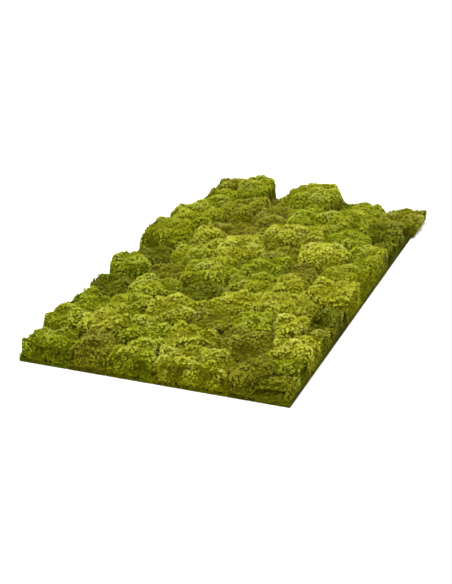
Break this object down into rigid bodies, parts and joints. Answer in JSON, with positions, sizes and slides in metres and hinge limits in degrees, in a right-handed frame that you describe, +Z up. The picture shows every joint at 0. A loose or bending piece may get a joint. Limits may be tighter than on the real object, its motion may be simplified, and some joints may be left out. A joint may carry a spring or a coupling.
{
  "type": "reindeer moss mat",
  "caption": "Rectangular mat of domed reindeer moss cushions packed side by side, cut straight at the edges, flat underneath; lies on a surface as a planting or display cover.",
  "frame": {"origin": "centre of the mat's flat underside, on the surface it lies on", "axes": "+Z up through the moss, +Y along the length from the front edge to the back edge, +X across the width"},
  "size_m": [0.316, 0.6, 0.0458],
  "materials": {
    "moss_yellow_green": "preserved reindeer moss, yellow green, matte, finely branched",
    "moss_light_olive": "preserved reindeer moss, light olive, matte, finely branched",
    "moss_straw": "preserved reindeer moss, straw, matte, finely branched",
    "moss_lime": "preserved reindeer moss, lime, matte, finely branched",
    "moss_fresh_green": "preserved reindeer moss, fresh green, matte, finely branched",
    "moss_deep_green": "preserved reindeer moss, deep green, matte, finely branched",
    "moss_olive": "preserved reindeer moss, olive, matte, finely branched",
    "moss_brown_olive": "preserved reindeer moss, brown olive, matte, finely branched"
  },
  "bodies": {
    "root": {"cushion_01": "moss_lime", "cushion_02": "moss_brown_olive", "cushion_03": "moss_yellow_green", "cushion_04": "moss_light_olive", "cushion_05": "moss_brown_olive", "cushion_06": "moss_olive", "cushion_07": "moss_fresh_green", "cushion_08": "moss_yellow_green", "cushion_09": "moss_light_olive", "cushion_10": "moss_fresh_green", "cushion_11": "moss_light_olive", "cushion_12": "moss_brown_olive", "cushion_13": "moss_straw", "cushion_14": "moss_lime", "cushion_15": "moss_yellow_green", "cushion_16": "moss_light_olive", "cushion_17": "moss_olive", "cushion_18": "moss_fresh_green", "cushion_19": "moss_straw", "cushion_20": "moss_olive", "cushion_21": "moss_deep_green", "cushion_22": "moss_yellow_green", "cushion_23": "moss_deep_green", "cushion_24": "moss_straw", "cushion_25": "moss_light_olive", "cushion_26": "moss_deep_green", "cushion_27": "moss_lime", "cushion_28": "moss_brown_olive", "cushion_29": "moss_yellow_green", "cushion_30": "moss_yellow_green", "cushion_31": "moss_light_olive", "cushion_32": "moss_straw", "cushion_33": "moss_deep_green", "cushion_34": "moss_yellow_green", "cushion_35": "moss_lime", "cushion_36": "moss_brown_olive", "cushion_37": "moss_yellow_green", "cushion_38": "moss_yellow_green", "cushion_39": "moss_light_olive", "cushion_40": "moss_light_olive", "cushion_41": "moss_olive", "cushion_42": "moss_straw", "cushion_43": "moss_yellow_green", "cushion_44": "moss_yellow_green", "cushion_45": "moss_brown_olive", "cushion_46": "moss_light_olive", "cushion_47": "moss_lime", "cushion_48": "moss_deep_green", "cushion_49": "moss_yellow_green", "cushion_50": "moss_olive", "cushion_51": "moss_brown_olive", "cushion_52": "moss_fresh_green", "cushion_53": "moss_yellow_green", "cushion_54": "moss_deep_green", "cushion_55": "moss_olive", "cushion_56": "moss_yellow_green", "cushion_57": "moss_brown_olive", "cushion_58": "moss_yellow_green", "cushion_59": "moss_yellow_green", "cushion_60": "moss_olive"}
  },
  "joints": []
}
